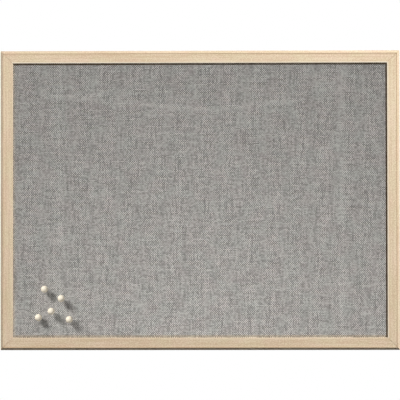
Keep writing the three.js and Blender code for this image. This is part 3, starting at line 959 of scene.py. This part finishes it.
# %% A pale floor that fades to white
FLOOR_Z = -0.95
FLOOR_COLOUR = "f4f4f2"
FLOOR_RINGS = 0.5, 1, 2, 4, 8, 12
FLOOR_SIDES = 64
FADE_FROM, FADE_TO = 1.45, 2.05


def looked_at(tree):
    """1 for a ray by which the studio is seen, straight or in a shine, and 0 for one that only lights."""
    path = add_node(tree, "LightPath").outputs
    seen = add_node(tree, "Math", {0: path["Is Camera Ray"], 1: path["Is Glossy Ray"]},
                    operation="ADD").outputs[0]
    return add_node(tree, "Math", {0: seen, 1: path["Is Transmission Ray"]},
                    operation="ADD", use_clamp=True).outputs[0]


def floor_paint():
    """Pale paint near the middle, and white further out."""
    made, tree = new_material("studio_floor_painted")
    place = add_node(tree, "TexCoord").outputs["Object"]
    away = add_node(tree, "VectorMath", {0: place}, operation="LENGTH").outputs["Value"]
    fade = add_node(tree, "MapRange", {"Value": away, "From Min": FADE_FROM, "From Max": FADE_TO},
                    interpolation_type="SMOOTHSTEP").outputs["Result"]
    white = add_node(tree, "Math", {0: looked_at(tree), 1: fade}, operation="MULTIPLY").outputs[0]
    paint = add_node(tree, "BsdfPrincipled", {
        "Base Color": linear(FLOOR_COLOUR), "Roughness": 0.9, "Specular IOR Level": 0.1})
    glow = add_node(tree, "Emission", {"Color": (1, 1, 1, 1), "Strength": 1.0})
    mixed = add_node(tree, "MixShader", {0: white, 1: paint.outputs[0], 2: glow.outputs[0]})
    add_node(tree, "OutputMaterial", {"Surface": mixed.outputs[0]})
    return made


floor_points = [(MIDDLE.x, 0, FLOOR_Z)]
rings = [[0] * FLOOR_SIDES]
for radius in FLOOR_RINGS:
    rings.append(range(len(floor_points), len(floor_points) + FLOOR_SIDES))
    angles = [2 * math.pi * i / FLOOR_SIDES for i in range(FLOOR_SIDES)]
    floor_points += [(MIDDLE.x + radius * math.cos(a), radius * math.sin(a), FLOOR_Z) for a in angles]
studio_floor = new_piece("studio_floor", floor_points, joined(rings), floor_paint())
studio_floor.visible_diffuse = False
print("floor at z", FLOOR_Z)

# %% [markdown]
# ## Strips of filter
# A thin brown line runs inside the top and right rails, where they shade the cloth, and light off the other
# two warms it. Four narrow strips of filter just in front of the cloth do the same here. The camera never
# sees them: they only tint and dim the light that passes.

# %% Filters
GEL_OFF_CLOTH = 0.35 * MM
GEL_OFF_RAIL = 0.3 * MM
GEL_WIDTHS = {"top": 3.2 * MM, "right": 3.2 * MM, "left": 2.6 * MM, "bottom": 5.0 * MM}
GEL_COLOURS = {"brown": "756450", "pale": "f8eddd"}
gel_materials = {}
for shade, colour in GEL_COLOURS.items():
    gel_materials[shade], tree = new_material(f"studio_filter_{shade}")
    clear = add_node(tree, "BsdfTransparent", {"Color": linear(colour)})
    add_node(tree, "OutputMaterial", {"Surface": clear.outputs[0]})
from_x, to_x = LEFT + RAIL_WIDTH + GEL_OFF_RAIL, RIGHT - RAIL_WIDTH - GEL_OFF_RAIL
from_z, to_z = BOTTOM + RAIL_WIDTH + GEL_OFF_RAIL, TOP - RAIL_WIDTH - GEL_OFF_RAIL
right_x, top_z = to_x - GEL_WIDTHS["right"], to_z - GEL_WIDTHS["top"]
left_x, bottom_z = from_x + GEL_WIDTHS["left"], from_z + GEL_WIDTHS["bottom"]
gels = []
for side, shade, x1, z1, x2, z2 in (
        ("top", "brown", from_x, top_z, to_x, to_z), ("right", "brown", right_x, from_z, to_x, top_z),
        ("left", "pale", from_x, from_z, left_x, top_z),
        ("bottom", "pale", left_x, from_z, right_x, bottom_z)):
    corners = [(x, COVER_FRONT - GEL_OFF_CLOTH, z) for x, z in ((x1, z1), (x2, z1), (x2, z2), (x1, z2))]
    made = new_piece(f"gel_{side}", corners, [(0, 1, 2, 3)], gel_materials[shade])
    made.visible_camera = False
    gels.append(made)
print("made", len(gels), "strips of filter")

# %% [markdown]
# ## Light
# The frame is bright from the upper right, while the pins' shadows fall to the lower right. One lamp can't do
# both, so each lamp has a list of what it lights. The frame has a strong lamp at the upper right and a weak
# one low on the left. The cloth and the pins have a sun at the upper left, whose light only the pins and the
# filters block, and a small lamp low in front. A lamp behind the board lights its back.

# %% Lamps: kind, place from the board's middle in metres, power, and size (a sun's is its angle in degrees)
LAMPS = {
    "frame_lamp_right": ("AREA", (2.65, -2.55, 2.65), 237, 0.7),
    "frame_lamp_left": ("AREA", (-2.0, -0.8, 0.3), 16, 0.5),
    "cloth_lamp": ("SUN", (-1.113, -1.0, 1.237), 3.35, 18),
    "low_lamp": ("AREA", (0.02, -0.75, -0.35), 2.4, 0.3),
    "back_lamp": ("AREA", (1.6, 2.8, 2.2), 170, 1.2),
}
LOW_AIM = 0.02, 0, -0.35


def lamp(name, kind, place, power, size):
    """A lamp aimed at the middle of the board. Only the low lamp shines straight ahead."""
    data = bpy.data.lights.new(name, kind)
    data.energy = power
    if kind == "SUN":
        data.angle = math.radians(size)
    else:
        data.shape = "DISK"
        data.size = size
    made = bpy.data.objects.new(name, data)
    made.location = MIDDLE + Vector(place)
    aim = Vector(LOW_AIM if name == "low_lamp" else (0, 0, 0))
    made.rotation_euler = (aim - Vector(place)).to_track_quat("-Z", "Y").to_euler()
    made.visible_camera = False
    bpy.context.scene.collection.objects.link(made)
    return made


def light_list(name, pieces, state):
    """A collection for a lamp: the pieces it includes, or all but the ones it excludes."""
    made = bpy.data.collections.new(name)
    for piece in pieces:
        made.objects.link(piece)
    for entry in made.collection_objects:
        entry.light_linking.link_state = state
    return made


lamps = {name: lamp(name, *values) for name, values in LAMPS.items()}
cloth_and_pins = [cover_piece, *pin_pieces]
for name in ("frame_lamp_right", "frame_lamp_left"):
    spared = light_list(f"{name}_spares", cloth_and_pins, "EXCLUDE")
    lamps[name].light_linking.receiver_collection = spared
for name, blockers in (("cloth_lamp", [*pin_pieces, *gels]), ("low_lamp", gels)):
    linking = lamps[name].light_linking
    linking.receiver_collection = light_list(f"{name}_lights", cloth_and_pins, "INCLUDE")
    linking.blocker_collection = light_list(f"{name}_shadows", blockers, "INCLUDE")
print("lamps:", list(lamps))

# %% The world: white to look at, a weak even fill for the object
FILL = 0.08
world = bpy.data.worlds.new("studio_white")
bpy.context.scene.world = world
world.use_nodes = True
world_tree = world.node_tree
world_tree.nodes.clear()
strength = add_node(world_tree, "MapRange", {
    "Value": looked_at(world_tree), "To Min": FILL, "To Max": 1.0}).outputs["Result"]
sky = add_node(world_tree, "Background", {"Color": (1, 1, 1, 1), "Strength": strength})
add_node(world_tree, "OutputWorld", {"Surface": sky.outputs[0]})
print("fill", FILL)

# %% [markdown]
# ## Camera
# A long lens, three metres off and almost square on: the right side of the board is a hair taller than the
# left, so the camera stands a little to the right of the middle, and a little low.

# %% Camera
CAMERA_PLACE = Vector((0.0295, -3.0, -0.0385))
CAMERA_AIM = Vector((0.0003, 0, 0.0003))
CAMERA_ROLL = math.radians(-0.087)
camera_data = bpy.data.cameras.new("camera")
camera_data.lens = 135
camera_data.sensor_width = 36
camera = bpy.data.objects.new("camera", camera_data)
bpy.context.scene.collection.objects.link(camera)
bpy.context.scene.camera = camera
camera.location = MIDDLE + CAMERA_PLACE
look = (MIDDLE + CAMERA_AIM) - camera.location
camera.rotation_euler = (look.to_track_quat("-Z", "Y").to_matrix().to_4x4()
                         @ Matrix.Rotation(CAMERA_ROLL, 4, "Z")).to_euler()
bpy.context.scene.view_settings.view_transform = "Standard"
print("camera", round(-CAMERA_PLACE.y, 3), "m from the board")

# %% The end
bpy.context.view_layer.update()
